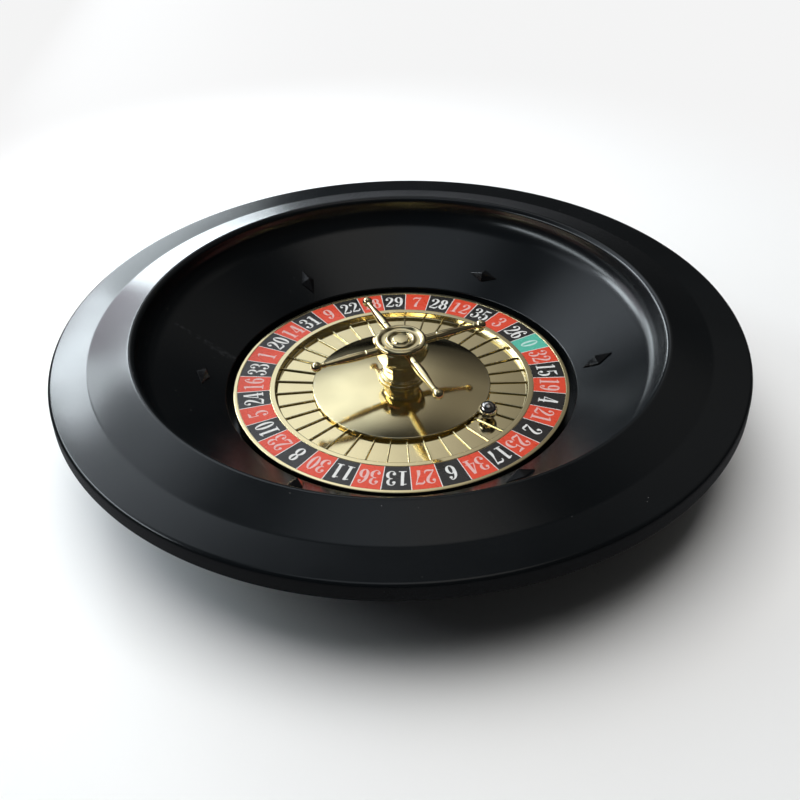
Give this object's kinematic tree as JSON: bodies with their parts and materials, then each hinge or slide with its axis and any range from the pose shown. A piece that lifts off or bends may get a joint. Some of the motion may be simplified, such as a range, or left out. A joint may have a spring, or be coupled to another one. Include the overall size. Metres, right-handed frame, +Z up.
{
  "type": "roulette wheel",
  "caption": "Table-top roulette wheel: black moulded bowl on rubber feet, gold-plated wheel head with numbered pockets and a four-armed turret on a ball bearing, deflectors and a steel ball.",
  "frame": {"origin": "centre of the underside, on the plane of the four rubber feet", "axes": "+Z up along the spindle that the wheel head turns on; -Y toward the player who faces the wheel; +X to that player's right"},
  "size_m": [0.406, 0.406, 0.0715],
  "materials": {
    "bowl_plastic": "satin moulded black ABS with a fine grain",
    "deflector_gloss": "polished black, sharp facets",
    "foot_rubber": "matte black rubber",
    "plated_steel": "bright zinc plating",
    "spring_steel": "dark phosphate",
    "bearing_steel": "ground bearing steel",
    "bearing_shield": "pressed sheet",
    "cage_brass": "pressed brass",
    "gold_plating": "gold electroplate over ABS, mirror bright",
    "printed_label": "printed and laminated number ring",
    "ball_chrome": "polished steel"
  },
  "bodies": {
    "bowl_base": {"bowl": "bowl_plastic", "deflector_1": "deflector_gloss", "deflector_2": "deflector_gloss", "deflector_3": "deflector_gloss", "deflector_4": "deflector_gloss", "deflector_5": "deflector_gloss", "deflector_6": "deflector_gloss", "foot_1": "foot_rubber", "foot_2": "foot_rubber", "foot_3": "foot_rubber", "foot_4": "foot_rubber", "spindle": "plated_steel", "spindle_washer": "plated_steel", "spindle_nut": "plated_steel", "bearing_spacer": "plated_steel", "retaining_ring": "spring_steel", "bearing_inner_race": "bearing_steel"},
    "wheel_head": {"pocket_wheel": "gold_plating", "number_ring": "printed_label", "cone": "gold_plating", "cone_screws": "plated_steel", "bearing_outer_race": "bearing_steel", "bearing_shields": "bearing_shield", "turret_base": "gold_plating", "turret_stem": "gold_plating", "turret_hub": "gold_plating", "turret_cap": "gold_plating", "turret_arm_1": "gold_plating", "turret_arm_2": "gold_plating", "turret_arm_3": "gold_plating", "turret_arm_4": "gold_plating", "turret_bolt": "plated_steel"},
    "bearing_train": {"bearing_cage": "cage_brass", "bearing_balls": "bearing_steel"},
    "ball": {"ball": "ball_chrome"}
  },
  "joints": [
    {"name": "wheel_spin", "type": "hinge", "parent": "bowl_base", "child": "wheel_head", "pos_m": [0, 0, 0.0185], "axis": [0, 0, 1], "continuous": true},
    {"name": "bearing_train_spin", "type": "hinge", "parent": "bowl_base", "child": "bearing_train", "pos_m": [0, 0, 0.0185], "axis": [0, 0, 1], "continuous": true},
    {"name": "ball_lift", "type": "slide", "parent": "wheel_head", "child": "ball", "axis": [0, 0, 1], "range_m": [0, 0.05]}
  ],
  "couplings": [
    {"joint": "bearing_train_spin", "follows": "wheel_spin", "ratio": 0.6323}
  ]
}
